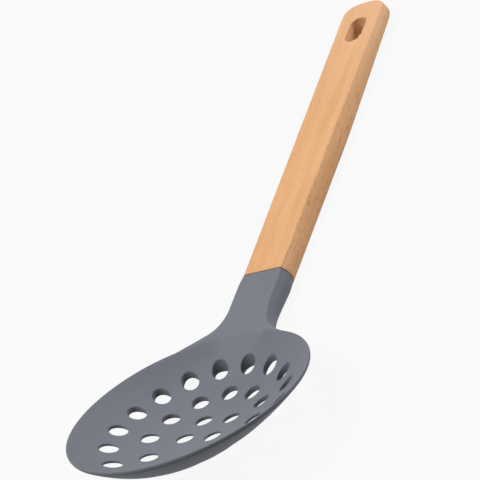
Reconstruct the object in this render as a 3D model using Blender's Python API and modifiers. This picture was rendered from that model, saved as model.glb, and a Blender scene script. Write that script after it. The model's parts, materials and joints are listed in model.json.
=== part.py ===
"""Skimmer: a perforated nylon bowl, moulded with its neck and tang, glued into a beech handle.

Every sub-part is drawn about the joint. Its origin is the middle of the joint's top edge, +X runs along
the handle to its hanging end, and +Z is square to the handle's flat top. One empty stands the skimmer on
the ground, with the underside of the handle flat on it and the origin under the middle of its box.
"""
import math

import bmesh
import bpy
from mathutils import Matrix, Vector

MM = 0.001
GAP = 0.3 * MM                      # clear space between neighbouring pieces

# Bowl
RIM_RADIUS = 50.0 * MM              # upper edge of the rim
BOWL_DEPTH = 16.5 * MM              # floor below the rim plane at the middle of the bowl
FLOOR_POWER = 1.9                   # 2 would make the floor a parabola along the bowl
FLANK_POWER = 0.4                   # added to that power across the bowl, which makes the flanks fuller
FLOOR_LEAN = 0.2                    # how much steeper the neck side is than the tip side
FLOOR_ENDS = 1.05                   # how much steeper the two ends are than the flanks
BOWL_WALL = 1.0 * MM                # wall of the floor from the tip to the middle
NECK_WALL = 2.8 * MM                # wall of the floor at the neck
NECK_WALL_START = -5.0 * MM         # where it begins to thicken, from the middle of the bowl
FLANK_WALL = 4.0 * MM               # what the thickening gains towards the flanks
RIM_WALL = 1.3 * MM                 # wall at the rim
RIM_THINNING = 6.0                  # how late the wall thins towards the rim
BOWL_TILT = math.radians(12.75)     # rise of the rim plane towards the tip

# Neck and collar
NECK_STRAIGHT = 17.5 * MM           # level run from the joint to the bend
BEND_RADIUS = 108.0 * MM            # bend from the level run up into the rim plane
NECK_HALF_WIDTH = 9.5 * MM          # flat top of the neck, from its middle to its edge
COLLAR_FLARE = 7.0 * MM             # run over which the collar widens from the handle to the neck
SHOULDER_RADIUS = 32.0 * MM         # fillet in plan between the neck and the round rim
SHOULDER_ROOT = 17.0 * MM           # how far inside the rim the neck begins to thicken
SHOULDER_DEPTH = 7.3 * MM           # what that thickening comes to at the joint
MOUTH_FLAT = 7.0 * MM               # half width of the level floor that runs into the bowl
MOUTH_RISE = 9.0 * MM               # width of the slope from that floor up to the shoulder
MOUTH_BLEND = 7.0 * MM              # softness of the edge where the neck drops into the bowl
RIB_DEPTH = 8.7 * MM                # depth of the rounded rib under the neck
RIB_HALF_WIDTH = 16.0 * MM          # its half width at the level of the neck's top
RIB_BLEND = 2.4 * MM                # softness of its run into the bowl
COLLAR_RUN = 50.0 * MM              # run over which the rib becomes as thick and flat as the handle

# Drain holes, in three rings that are drawn out towards the neck
HOLE_RADIUS = 3.55 * MM
HOLE_SIDES = 16
HOLE_RINGS = (
    # holes, start in steps, centre, and reach to the neck, the flanks and the tip in rim radii, lean
    (17, 0.50, 0.000, 0.816, 0.729, 0.729, math.radians(7.9)),
    (10, 0.00, 0.000, 0.587, 0.465, 0.448, math.radians(18.6)),
    (4, 0.383, 0.092, 0.195, 0.195, 0.195, 0.0),
)

# Handle
HANDLE_LENGTH = 196.8 * MM          # flat top, from the joint to the end
TOP_HALF_WIDTH = 8.9 * MM           # flat top at the joint, from its middle to its edge
END_HALF_WIDTH = 10.5 * MM          # the same at the end
HANDLE_THICKNESS = 10.3 * MM        # at the joint and over the level underside
END_THICKNESS = 7.2 * MM
LEVEL_RUN = 95.0 * MM               # level part of the underside
UNDERSIDE_POWER = 1.15              # 1 would make the rest of the underside straight
SIDE_BULGE = 0.23                   # bulge of the sides, as a part of the thickness
END_BULGE = 0.08                    # the same at the middle of the rounded end
END_CORNER = 9.0 * MM               # run over which the end rounds off
END_POWER = 2.5                     # squareness of the rounded end
SLOT_WIDTH = 7.4 * MM
SLOT_LENGTH = 18.1 * MM
SLOT_EASE = 0.65 * MM               # eased edge round the slot, on both faces
SLOT_FROM_END = 22.6 * MM           # middle of the slot to the end of the flat top

# Tang and its glue
TANG_LENGTH = 42.0 * MM
TANG_WIDTH = 11.0 * MM
TANG_THICKNESS = 3.6 * MM
TANG_ROOT = 4.0 * MM                # how far the tang is rooted in the collar
TANG_NOTCHES = 4
TANG_NOTCH_DEPTH = 0.8 * MM
GLUE_WALL = 0.5 * MM

# Mesh fineness
RIM_STEPS = 30
SHOULDER_STEPS = 8
NECK_STEPS = 7
RUNG_STEPS = 13
SIDE_STEPS = 6
HANDLE_STEPS = 12
END_STEPS = 9
SLOT_STEPS = 24

# Colours, roughness and metallic value of each material
NYLON = ((0.175, 0.190, 0.215, 1.0), 0.55, 0.0)
BEECH = ((0.720, 0.430, 0.225, 1.0), 0.58, 0.0)
GLUE = ((0.780, 0.660, 0.430, 1.0), 0.40, 0.0)


# Places worked out from the sizes above
BEND_START = RIM_RADIUS
BEND_END = BEND_START + BEND_RADIUS * BOWL_TILT
JOINT = BEND_END + NECK_STRAIGHT
SHOULDER_MIDDLE = math.sqrt((RIM_RADIUS + SHOULDER_RADIUS) ** 2
                            - (NECK_HALF_WIDTH + SHOULDER_RADIUS) ** 2)
SHOULDER_ANGLE = math.asin((NECK_HALF_WIDTH + SHOULDER_RADIUS) / (RIM_RADIUS + SHOULDER_RADIUS))
TANG_LEVEL = -HANDLE_THICKNESS / 2


def smooth_step(value):
    """Ease from 0 to 1."""
    value = min(max(value, 0.0), 1.0)
    return value * value * (3.0 - 2.0 * value)


def soft_min(first, second, blend):
    """The lower of two heights, with their crossing rounded off over the blend."""
    overlap = max(blend - abs(first - second), 0.0)
    return min(first, second) - overlap * overlap / (4.0 * blend)


def spine(along):
    """Place and slope of the head's edge line, at a distance along it from the middle of the bowl."""
    if along >= BEND_END:
        return along - JOINT, 0.0, 0.0
    slope = min((BEND_END - along) / BEND_RADIUS, BOWL_TILT)
    straight = max(BEND_START - along, 0.0)
    x = -NECK_STRAIGHT - BEND_RADIUS * math.sin(slope) - straight * math.cos(slope)
    z = BEND_RADIUS * (1.0 - math.cos(slope)) + straight * math.sin(slope)
    return x, z, slope


def place(along, across, height):
    """A point of the head from its distance along the spine, across it and above it."""
    x, z, slope = spine(along)
    return Vector((x + height * math.sin(slope), across, z + height * math.cos(slope)))


def bowl_floor(along, across):
    """Height of the dished floor over the rim plane."""
    share = along / RIM_RADIUS
    radius = math.hypot(along, across) / RIM_RADIUS
    if radius == 0.0:
        return -BOWL_DEPTH
    power = FLOOR_POWER + FLANK_POWER * (1.0 - (share / radius) ** 2)
    fullness = 1.0 + FLOOR_LEAN * share + FLOOR_ENDS * share * share
    return -BOWL_DEPTH * (1.0 - radius ** power) * fullness


def bowl_outside(along, across):
    """Height of the bowl's outer face, one wall below its floor."""
    step = 0.5 * MM
    here = bowl_floor(along, across)
    rise = (bowl_floor(along + step, across) - here) / step
    lift = (bowl_floor(along, across + step) - here) / step
    radius = min(math.hypot(along, across) / RIM_RADIUS, 1.0)
    thickening = smooth_step((along - NECK_WALL_START) / (RIM_RADIUS - NECK_WALL_START))
    wall = BOWL_WALL + (NECK_WALL - BOWL_WALL + FLANK_WALL * (across / RIM_RADIUS) ** 2) * thickening
    wall += (RIM_WALL - wall) * radius ** RIM_THINNING
    return here - wall * math.sqrt(1.0 + rise * rise + lift * lift)


def head_top(along, across):
    """Upper face: the dished floor, cut off by the neck's level top where the neck runs in."""
    _, z, slope = spine(along)
    shoulder = smooth_step((abs(across) - MOUTH_FLAT) / MOUTH_RISE)
    neck_top = -z / math.cos(slope) * (1.0 - shoulder)
    floor = bowl_floor(along, across)
    near_neck = smooth_step((along - RIM_RADIUS + SHOULDER_ROOT) / SHOULDER_ROOT)
    if near_neck == 0.0:
        return min(floor, 0.0)
    return soft_min(floor, neck_top, MOUTH_BLEND * near_neck * (1.0 - 0.8 * shoulder))


def head_bottom(along, across):
    """Under face: the bowl's outer face, the rib that runs out into the collar, and the shoulders."""
    _, z, slope = spine(along)
    root = RIM_RADIUS - SHOULDER_ROOT
    inward = max(root - along, 0.0)
    collar = max(along - JOINT + COLLAR_RUN, 0.0) ** 2 / COLLAR_RUN ** 2
    depth = RIB_DEPTH + (HANDLE_THICKNESS - RIB_DEPTH) * collar
    spread = (across * across * (1.0 - collar) + inward * inward) / RIB_HALF_WIDTH ** 2
    rib = (depth * (spread * spread - 1.0) - z) / math.cos(slope)
    shoulder = -SHOULDER_DEPTH * smooth_step((along - root) / (JOINT - root))
    return soft_min(soft_min(bowl_outside(along, across), rib, RIB_BLEND), shoulder, RIB_BLEND)


def neck_half_width(along):
    """Half width of the neck's top, widening from the handle over the collar."""
    flare = smooth_step((JOINT - along) / COLLAR_FLARE)
    return TOP_HALF_WIDTH + (NECK_HALF_WIDTH - TOP_HALF_WIDTH) * flare


def head_outline():
    """Half of the head's outline in plan, from the joint to the tip, as points with outward directions."""
    outline = []
    for step in range(NECK_STEPS):
        along = JOINT - GAP / 2 + (SHOULDER_MIDDLE - JOINT + GAP / 2) * step / NECK_STEPS
        outline.append((along, neck_half_width(along), 0.0, 1.0))
    for step in range(SHOULDER_STEPS):
        turn = math.pi / 2 + (math.pi / 2 - SHOULDER_ANGLE) * step / SHOULDER_STEPS
        out_along = -math.cos(turn)
        out_across = math.sin(turn)
        outline.append((SHOULDER_MIDDLE - SHOULDER_RADIUS * out_along,
                        NECK_HALF_WIDTH + SHOULDER_RADIUS * (1.0 - out_across), out_along, out_across))
    for step in range(RIM_STEPS + 1):
        turn = SHOULDER_ANGLE + (math.pi - SHOULDER_ANGLE) * step / RIM_STEPS
        across = math.sin(turn) if step < RIM_STEPS else 0.0
        outline.append((RIM_RADIUS * math.cos(turn), RIM_RADIUS * across, math.cos(turn), across))
    return outline


def side_arc(top, bottom, bulge):
    """Outward offsets and heights of a bulging side, from its top edge to its bottom edge."""
    half = (top - bottom) / 2
    radius = (half * half + bulge * bulge) / (2.0 * bulge)
    reach = math.asin(half / radius)
    arc = []
    for step in range(1, SIDE_STEPS):
        turn = reach * (1.0 - 2.0 * step / SIDE_STEPS)
        arc.append((radius * (math.cos(turn) - math.cos(reach)), (top + bottom) / 2 + radius * math.sin(turn)))
    return arc


def head_rung(along, across, out_along, out_across):
    """One rung of the head: over the top from its middle to the edge, round the side, and back below."""
    middle = along
    if along < SHOULDER_MIDDLE:
        middle = max(along, 0.0) ** 2 / SHOULDER_MIDDLE
    spots = []
    for step in range(RUNG_STEPS + 1):
        share = step / RUNG_STEPS
        spots.append((middle + (along - middle) * share, across * share))
    rung = [place(*spot, head_top(*spot)) for spot in spots]
    top = head_top(along, across)
    bottom = head_bottom(along, across)
    for offset, height in side_arc(top, bottom, SIDE_BULGE * (top - bottom)):
        rung.append(place(along + out_along * offset, across + out_across * offset, height))
    rung.extend(place(*spot, head_bottom(*spot)) for spot in reversed(spots))
    return rung


def handle_thickness(x):
    """Thickness of the handle: level from the joint, then thinning to the end."""
    share = max(x - LEVEL_RUN, 0.0) / (HANDLE_LENGTH - LEVEL_RUN)
    return HANDLE_THICKNESS + (END_THICKNESS - HANDLE_THICKNESS) * share ** UNDERSIDE_POWER


def handle_outline():
    """Half of the handle's flat top in plan, from the joint round to the middle of its end."""
    straight_end = HANDLE_LENGTH - END_CORNER
    taper = (END_HALF_WIDTH - TOP_HALF_WIDTH) / straight_end
    outline = []
    for step in range(HANDLE_STEPS):
        x = GAP / 2 + (straight_end - GAP / 2) * step / HANDLE_STEPS
        outline.append((x, TOP_HALF_WIDTH + taper * x, 0.0, 1.0))
    for step in range(END_STEPS + 1):
        turn = math.pi / 2 * step / END_STEPS
        across = math.cos(turn) if step < END_STEPS else 0.0
        out = Vector((math.sin(turn) ** (2.0 - 2.0 / END_POWER) / END_CORNER,
                      across ** (2.0 - 2.0 / END_POWER) / END_HALF_WIDTH)).normalized()
        outline.append((straight_end + END_CORNER * math.sin(turn) ** (2.0 / END_POWER),
                        END_HALF_WIDTH * across ** (2.0 / END_POWER), out.x, out.y))
    return outline


def handle_rung(x, y, out_x, out_y):
    """One rung of the handle, from the middle of its top round the side to the middle of its underside."""
    middle = min(x, HANDLE_LENGTH - END_CORNER)
    bottom = -handle_thickness(x)
    rung = [Vector((middle, 0.0, 0.0)), Vector((x, y, 0.0))]
    bulge = SIDE_BULGE + (END_BULGE - SIDE_BULGE) * max(out_x, 0.0)
    for offset, height in side_arc(0.0, bottom, -bulge * bottom):
        rung.append(Vector((x + out_x * offset, y + out_y * offset, height)))
    rung.append(Vector((x, y, bottom)))
    rung.append(Vector((middle, 0.0, -handle_thickness(middle))))
    return rung


def stadium(half_run, radius):
    """Points of a slot's outline with round ends, along X."""
    points = []
    for step in range(SLOT_STEPS):
        turn = 2.0 * math.pi * (step + 0.5) / SLOT_STEPS
        run = math.copysign(half_run, math.cos(turn))
        points.append((run + radius * math.cos(turn), radius * math.sin(turn)))
    return points


def mesh_object(name, build, collection):
    """A new object whose mesh is drawn by a function."""
    drawing = bmesh.new()
    build(drawing)
    mesh = bpy.data.meshes.new(name)
    drawing.to_mesh(mesh)
    drawing.free()
    piece = bpy.data.objects.new(name, mesh)
    collection.objects.link(piece)
    return piece


def half_body(rungs):
    """A function that draws one half of a body through its rungs, open at the plane of symmetry."""
    def build(drawing):
        rows = [[drawing.verts.new(point) for point in rung] for rung in rungs]
        drawing.faces.new(rows[0])
        for row, following in zip(rows, rows[1:]):
            for step in range(len(row) - 1):
                drawing.faces.new((row[step], following[step], following[step + 1], row[step + 1]))
        bmesh.ops.remove_doubles(drawing, verts=drawing.verts, dist=0.001 * MM)
        bmesh.ops.recalc_face_normals(drawing, faces=drawing.faces)
    return build


def loft(rings):
    """A function that draws a closed body through rings of points."""
    def build(drawing):
        rows = [[drawing.verts.new(point) for point in ring] for ring in rings]
        drawing.faces.new(rows[0])
        drawing.faces.new(rows[-1])
        for row, following in zip(rows, rows[1:]):
            for step in range(len(row)):
                after = (step + 1) % len(row)
                drawing.faces.new((row[step], row[after], following[after], following[step]))
        bmesh.ops.recalc_face_normals(drawing, faces=drawing.faces)
    return build


def block(low, high):
    """A function that draws a box between two corners."""
    def build(drawing):
        size = Vector(high) - Vector(low)
        middle = (Vector(high) + Vector(low)) / 2
        matrix = Matrix.Translation(middle) @ Matrix.Diagonal((*size, 1.0))
        bmesh.ops.create_cube(drawing, size=1.0, matrix=matrix)
    return build


def flat_plate(name, outline, thickness, level, collection):
    """A plate of a flat outline, made as a filled curve and then turned into a mesh."""
    curve = bpy.data.curves.new(name + "_outline", "CURVE")
    curve.dimensions = "2D"
    curve.fill_mode = "BOTH"
    curve.extrude = thickness / 2
    line = curve.splines.new("POLY")
    line.points.add(len(outline) - 1)
    for point, (x, y) in zip(line.points, outline):
        point.co = (x, y, 0.0, 1.0)
    line.use_cyclic_u = True
    drawn = bpy.data.objects.new(name + "_outline", curve)
    bpy.context.scene.collection.objects.link(drawn)
    evaluated = drawn.evaluated_get(bpy.context.evaluated_depsgraph_get())
    flat = bpy.data.meshes.new_from_object(evaluated)
    bpy.data.objects.remove(drawn)

    def build(drawing):
        drawing.from_mesh(flat)
        bmesh.ops.remove_doubles(drawing, verts=drawing.verts, dist=0.001 * MM)
        bmesh.ops.translate(drawing, verts=drawing.verts, vec=(0.0, 0.0, level))
        bmesh.ops.recalc_face_normals(drawing, faces=drawing.faces)
    return mesh_object(name, build, collection)


def mirror(piece):
    """Complete a half body across the plane of symmetry."""
    halves = piece.modifiers.new("symmetry", "MIRROR")
    halves.use_axis = (False, True, False)
    halves.use_clip = True
    halves.merge_threshold = 0.005 * MM


def combine(piece, other, operation):
    """Cut another shape out of a piece, or join it on."""
    step = piece.modifiers.new(other.name, "BOOLEAN")
    step.operation = operation
    step.object = other
    other.hide_render = True
    other.display_type = "WIRE"


def finish(piece, name, look, parent):
    """Give a piece its material and smooth shading, and stand it with the others."""
    colour, roughness, metallic = look
    material = bpy.data.materials.new(name)
    material.use_nodes = True
    shader = material.node_tree.nodes["Principled BSDF"]
    shader.inputs["Base Color"].default_value = colour
    shader.inputs["Roughness"].default_value = roughness
    shader.inputs["Metallic"].default_value = metallic
    material.diffuse_color = colour
    piece.data.materials.append(material)
    piece.data.shade_smooth()
    piece.data.set_sharp_from_angle(angle=math.radians(35.0))
    piece.parent = parent


def drain_holes(drawing):
    """Draw one pin for each drain hole, square to the rim plane."""
    top = place(0.0, 0.0, 0.0).z
    length = 2.0 * (BOWL_DEPTH * (1.0 + FLOOR_LEAN + FLOOR_ENDS) + top)
    for count, start, centre, neck, flank, tip, lean in HOLE_RINGS:
        for step in range(count):
            turn = 2.0 * math.pi * (step + start) / count
            turn -= lean * math.sin(turn)
            end = neck if math.cos(turn) > 0.0 else tip
            reach = RIM_RADIUS * (flank + (end - flank) * math.cos(turn) ** 2)
            along = RIM_RADIUS * centre + reach * math.cos(turn)
            across = reach * math.sin(turn)
            matrix = Matrix.Translation(place(along, across, 0.0)) @ Matrix.Rotation(BOWL_TILT, 4, "Y")
            bmesh.ops.create_cone(drawing, cap_ends=True, segments=HOLE_SIDES, radius1=HOLE_RADIUS,
                                  radius2=HOLE_RADIUS, depth=length, matrix=matrix)


def tang_outline():
    """Outline of the tang in plan, with notches along both edges that key into the glue."""
    half = TANG_WIDTH / 2
    pitch = TANG_LENGTH / (TANG_NOTCHES + 1)
    edge = [(-GAP / 2 - TANG_ROOT, half)]
    for notch in range(1, TANG_NOTCHES + 1):
        middle = notch * pitch
        edge.append((middle - pitch / 4, half))
        edge.append((middle - pitch / 8, half - TANG_NOTCH_DEPTH))
        edge.append((middle + pitch / 8, half - TANG_NOTCH_DEPTH))
        edge.append((middle + pitch / 4, half))
    edge.append((TANG_LENGTH - half / 2, half))
    edge.append((TANG_LENGTH, half / 2))
    return edge + [(x, -y) for x, y in reversed(edge)]


def make_head(parts, cutters, parent):
    """The nylon moulding: bowl, neck, collar and tang."""
    head = mesh_object("skimmer_head", half_body([head_rung(*spot) for spot in head_outline()]), parts)
    mirror(head)
    tang = flat_plate("tang", tang_outline(), TANG_THICKNESS, TANG_LEVEL, cutters)
    combine(head, tang, "UNION")
    pins = mesh_object("drain_hole_pins", drain_holes, cutters)
    combine(head, pins, "DIFFERENCE")
    finish(head, "nylon", NYLON, parent)
    for cutter in (tang, pins):
        cutter.parent = parent


def socket_corners(clearance):
    """Corners of the box that lies this far outside the tang, open at the joint."""
    low = (0.0, -TANG_WIDTH / 2 - clearance, TANG_LEVEL - TANG_THICKNESS / 2 - clearance)
    high = (TANG_LENGTH + clearance, -low[1], TANG_LEVEL + TANG_THICKNESS / 2 + clearance)
    return low, high


def make_handle(parts, cutters, parent):
    """The beech handle, with the tang's socket and the hanging slot."""
    handle = mesh_object("handle", half_body([handle_rung(*spot) for spot in handle_outline()]), parts)
    mirror(handle)
    low, high = socket_corners(2.0 * GAP + GLUE_WALL)
    socket = mesh_object("tang_socket", block((-TANG_ROOT, *low[1:]), high), cutters)
    combine(handle, socket, "DIFFERENCE")
    slot = mesh_object("hanging_slot", loft(slot_rings()), cutters)
    combine(handle, slot, "DIFFERENCE")
    finish(handle, "beech", BEECH, parent)
    for cutter in (socket, slot):
        cutter.parent = parent


def slot_rings():
    """Outlines of the hanging slot from above the top face to below the underside, flared at both faces."""
    middle = HANDLE_LENGTH - SLOT_FROM_END
    below = -handle_thickness(middle)
    overshoot = 2.0 * SLOT_EASE
    levels = (
        (overshoot, SLOT_EASE + overshoot),
        (-SLOT_EASE, 0.0),
        (below + SLOT_EASE, 0.0),
        (below - overshoot, SLOT_EASE + overshoot),
    )
    half_run = (SLOT_LENGTH - SLOT_WIDTH) / 2
    return [[(middle + x, y, level) for x, y in stadium(half_run, SLOT_WIDTH / 2 + flare)]
            for level, flare in levels]


def make_glue(parts, cutters, parent):
    """The cured glue: a thin cup round the tang that lines the socket."""
    low, high = socket_corners(GAP + GLUE_WALL)
    glue = mesh_object("tang_adhesive", block((GAP, *low[1:]), high), parts)
    low, high = socket_corners(GAP)
    room = mesh_object("tang_room", block((-TANG_ROOT, *low[1:]), high), cutters)
    combine(glue, room, "DIFFERENCE")
    finish(glue, "glue", GLUE, parent)
    room.parent = parent


def main():
    for leftover in list(bpy.data.objects):
        bpy.data.objects.remove(leftover)
    scene = bpy.context.scene
    parts = bpy.data.collections.new("skimmer")
    cutters = bpy.data.collections.new("skimmer_cutters")
    scene.collection.children.link(parts)
    scene.collection.children.link(cutters)

    points = [point for spot in head_outline() for point in head_rung(*spot)]
    points += [point for spot in handle_outline() for point in handle_rung(*spot)]
    middle = (min(point.x for point in points) + max(point.x for point in points)) / 2
    stand = bpy.data.objects.new("skimmer_on_the_ground", None)
    stand.location = (-middle, 0.0, -min(point.z for point in points))
    parts.objects.link(stand)

    make_head(parts, cutters, stand)
    make_handle(parts, cutters, stand)
    make_glue(parts, cutters, stand)


main()
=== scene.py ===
"""Looks of the skimmer: a perforated nylon bowl on a neck, and a beech handle with a hanging slot.

The head and the handle are drawn again with the part's own rules, much finer and with eased edges, about
the middle of the joint's top edge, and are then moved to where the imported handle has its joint.
"""
import json
import math

import bmesh
import bpy
from mathutils import Matrix, Vector, noise

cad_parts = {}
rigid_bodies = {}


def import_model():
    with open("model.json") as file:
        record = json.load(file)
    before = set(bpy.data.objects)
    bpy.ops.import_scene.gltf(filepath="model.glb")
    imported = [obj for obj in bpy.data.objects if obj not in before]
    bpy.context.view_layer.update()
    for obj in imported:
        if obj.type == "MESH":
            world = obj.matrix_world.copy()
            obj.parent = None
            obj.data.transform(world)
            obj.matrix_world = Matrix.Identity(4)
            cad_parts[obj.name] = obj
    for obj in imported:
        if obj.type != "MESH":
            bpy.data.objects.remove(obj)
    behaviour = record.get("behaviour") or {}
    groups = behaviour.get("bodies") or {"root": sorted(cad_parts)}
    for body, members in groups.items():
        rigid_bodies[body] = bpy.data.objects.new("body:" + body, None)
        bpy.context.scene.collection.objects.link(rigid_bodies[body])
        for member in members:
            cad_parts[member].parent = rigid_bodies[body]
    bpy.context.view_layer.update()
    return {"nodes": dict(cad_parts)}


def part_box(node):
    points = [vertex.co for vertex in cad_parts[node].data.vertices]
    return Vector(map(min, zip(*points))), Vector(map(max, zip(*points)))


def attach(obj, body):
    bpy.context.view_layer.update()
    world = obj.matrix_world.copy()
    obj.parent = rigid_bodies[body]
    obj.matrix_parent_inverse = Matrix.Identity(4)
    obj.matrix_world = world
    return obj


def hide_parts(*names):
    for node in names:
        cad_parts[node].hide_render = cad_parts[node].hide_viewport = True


MM = 0.001
GAP = 0.3 * MM                      # clear space at the joint and round the glue

# Bowl, as in the part
RIM_RADIUS = 50.0 * MM              # upper edge of the rim
BOWL_DEPTH = 16.5 * MM              # floor below the rim plane at the middle of the bowl
FLOOR_POWER = 1.9                   # 2 would make the floor a parabola along the bowl
FLANK_POWER = 0.4                   # added to that power across the bowl, which makes the flanks fuller
FLOOR_LEAN = 0.2                    # how much steeper the neck side is than the tip side
FLOOR_ENDS = 1.05                   # how much steeper the two ends are than the flanks
BOWL_WALL = 1.0 * MM                # wall of the floor from the tip to the middle
NECK_WALL = 2.8 * MM                # wall of the floor at the neck
NECK_WALL_START = -5.0 * MM         # where it begins to thicken, from the middle of the bowl
FLANK_WALL = 4.0 * MM               # what the thickening gains towards the flanks
RIM_WALL = 1.3 * MM                 # wall at the rim
RIM_THINNING = 6.0                  # how late the wall thins towards the rim
BOWL_TILT = math.radians(12.75)     # rise of the rim plane towards the tip
SLOPE_STEP = 0.5 * MM               # over which the slope of the floor is measured

# Neck and collar, as in the part
NECK_STRAIGHT = 17.5 * MM           # level run from the joint to the bend
BEND_RADIUS = 108.0 * MM            # bend from the level run up into the rim plane
NECK_HALF_WIDTH = 9.5 * MM          # flat top of the neck, from its middle to its edge
COLLAR_FLARE = 7.0 * MM             # run over which the collar widens from the handle to the neck
SHOULDER_RADIUS = 32.0 * MM         # fillet in plan between the neck and the round rim
SHOULDER_ROOT = 17.0 * MM           # how far inside the rim the neck begins to thicken
SHOULDER_DEPTH = 7.3 * MM           # what that thickening comes to at the joint
MOUTH_FLAT = 7.0 * MM               # half width of the level floor that runs into the bowl
MOUTH_RISE = 9.0 * MM               # width of the slope from that floor up to the shoulder
MOUTH_BLEND = 7.0 * MM              # softness of the edge where the neck drops into the bowl
MOUTH_TIGHTENING = 0.8              # how much of that softness the shoulders take away
RIB_DEPTH = 8.7 * MM                # depth of the rounded rib under the neck
RIB_HALF_WIDTH = 16.0 * MM          # its half width at the level of the neck's top
RIB_BLEND = 2.4 * MM                # softness of its run into the bowl
COLLAR_RUN = 50.0 * MM              # run over which the rib becomes as thick and flat as the handle

# Drain holes, in three rings that are drawn out towards the neck
HOLE_RADIUS = 3.55 * MM
HOLE_EASE = 0.25 * MM               # of the edges of a hole, which only the looks have
HOLE_SIDES = 48
HOLE_RINGS = (
    # holes, start in steps, centre, and reach to the neck, the flanks and the tip in rim radii, lean
    (17, 0.50, 0.000, 0.816, 0.729, 0.729, math.radians(7.9)),
    (10, 0.00, 0.000, 0.587, 0.465, 0.448, math.radians(18.6)),
    (4, 0.383, 0.092, 0.195, 0.195, 0.195, 0.0),
)
RING_INPUTS = (
    # what the Geometry Nodes of one ring are given
    ("Holes", "NodeSocketInt"),
    ("Start", "NodeSocketFloat"),
    ("Centre", "NodeSocketFloat"),
    ("Neck reach", "NodeSocketFloat"),
    ("Flank reach", "NodeSocketFloat"),
    ("Tip reach", "NodeSocketFloat"),
    ("Lean", "NodeSocketFloat"),
    ("Hole radius", "NodeSocketFloat"),
    ("Edge ease", "NodeSocketFloat"),
    ("Hole sides", "NodeSocketInt"),
    ("Finish", "NodeSocketMaterial"),
)
EASE_TURN = math.radians(30.0)      # turn of each facet of a hole's eased edge
EASE_FACETS = 2
EASE_RUN_OUT = 1.2                  # how far the flare of a pin runs on past the face, in eases
PIN_LEVELS = 1 + 2 * (EASE_FACETS + 2)  # facets along a pin: its shaft, and ease, run-out and stub twice

# Handle, as in the part
HANDLE_LENGTH = 196.8 * MM          # flat top, from the joint to the end
TOP_HALF_WIDTH = 8.9 * MM           # flat top at the joint, from its middle to its edge
END_HALF_WIDTH = 10.5 * MM          # the same at the end
HANDLE_THICKNESS = 10.3 * MM        # at the joint and over the level underside
END_THICKNESS = 7.2 * MM
LEVEL_RUN = 95.0 * MM               # level part of the underside
UNDERSIDE_POWER = 1.15              # 1 would make the rest of the underside straight
SIDE_BULGE = 0.23                   # bulge of the sides, as a part of the thickness
END_BULGE = 0.08                    # the same at the middle of the rounded end
END_CORNER = 9.0 * MM               # run over which the end rounds off
END_POWER = 2.5                     # squareness of the rounded end
SLOT_WIDTH = 7.4 * MM
SLOT_LENGTH = 18.1 * MM
SLOT_FROM_END = 22.6 * MM           # middle of the slot to the end of the flat top

# Tang and its glue, as in the part
TANG_LENGTH = 42.0 * MM
TANG_WIDTH = 11.0 * MM
TANG_THICKNESS = 3.6 * MM
TANG_ROOT = 4.0 * MM                # how far the tang is rooted in the collar
TANG_NOTCHES = 4
TANG_NOTCH_DEPTH = 0.8 * MM
NOTCH_MOUTH = 1 / 4                 # half width of a notch at the tang's edge, in notch pitches
NOTCH_FLOOR = 1 / 8                 # and at its floor
GLUE_WALL = 0.5 * MM

# Edges and sides, which the looks have finer than the part
HEAD_EASE = 0.25 * MM
EASE_LIMIT = 0.3                    # the most of a side's height that this ease may take
SIDE_NOSE = 0.7                     # below 1, a tall side bulges most under its middle
RIM_NOSE = 1.55                     # what a thin edge such as the rim adds, so that it bulges at its top
HANDLE_EASE = 0.4 * MM
EASE_WAVER = 0.3                    # how much the sanded edge of the wood varies
EASE_WAVE = 34.0 * MM               # over what length
JOINT_EASE = 0.2 * MM
SLOT_DRAFT = 0.45 * MM              # how far the hanging slot widens to each side up to the flat top
SLOT_EASE = 0.45 * MM               # of the slot's edge at the flat top
SLOT_UNDER_EASE = 0.1 * MM          # and at the underside
SLOT_TURN = math.radians(75.0)      # how far the slot's eased edge turns
SLOT_RUN_OUT = (2.0, 3.0)           # how far its cutter then rises and widens past the face, in eases

# Mesh fineness: steps along the outlines, across the rungs, and round the sides and the eased edges
RIM_STEPS = 120
SHOULDER_STEPS = 30
NECK_STEPS = 36
RUNG_STEPS = 44
SIDE_STEPS = 10
EASE_STEPS = 4
HANDLE_STEPS = 90
HANDLE_COLUMNS = 8
END_STEPS = 28
SLOT_STEPS = 72
SLOT_RINGS = 6
MERGE_DISTANCE = 0.001 * MM         # points nearer than this are one
SHARP_ANGLE = math.radians(50.0)    # edges that turn by more than this look sharp

# Camera, about the joint
CAMERA_PLACE = Vector((-681.5, -450.0, 478.6)) * MM
CAMERA_AIM = Vector((44.7, 30.9, -12.7)) * MM
CAMERA_ROLL = math.radians(-31.5)
CAMERA_LENS = 172.5                 # in millimetres, and so is the sensor
CAMERA_SENSOR = 36.0
CAMERA_NEAR = 0.01                  # nothing nearer than this is drawn

# Colours
WHITE = (1.0, 1.0, 1.0, 1.0)
NYLON_DARK = (0.154, 0.165, 0.190, 1.0)
NYLON_PALE = (0.186, 0.198, 0.226, 1.0)
NYLON_SCUFF = (0.245, 0.260, 0.285, 1.0)
BEECH_PALE = (0.815, 0.465, 0.235, 1.0)
BEECH_WARM = (0.690, 0.350, 0.152, 1.0)
BEECH_RAY = (0.430, 0.215, 0.095, 1.0)
BEECH_PORE = (0.400, 0.205, 0.095, 1.0)
BEECH_END = (0.520, 0.290, 0.140, 1.0)
BEECH_FADED = (0.860, 0.540, 0.330, 1.0)
# painted shade: the dark brown of the shadow in the gap at the joint
BEECH_SEAM_SHADE = (0.110, 0.065, 0.040, 1.0)
GLUE_AMBER = (0.700, 0.520, 0.260, 1.0)
GLUE_CLOUDY = (0.800, 0.690, 0.470, 1.0)
FLOOR_COLOUR = (0.400, 0.400, 0.400, 1.0)

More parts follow.
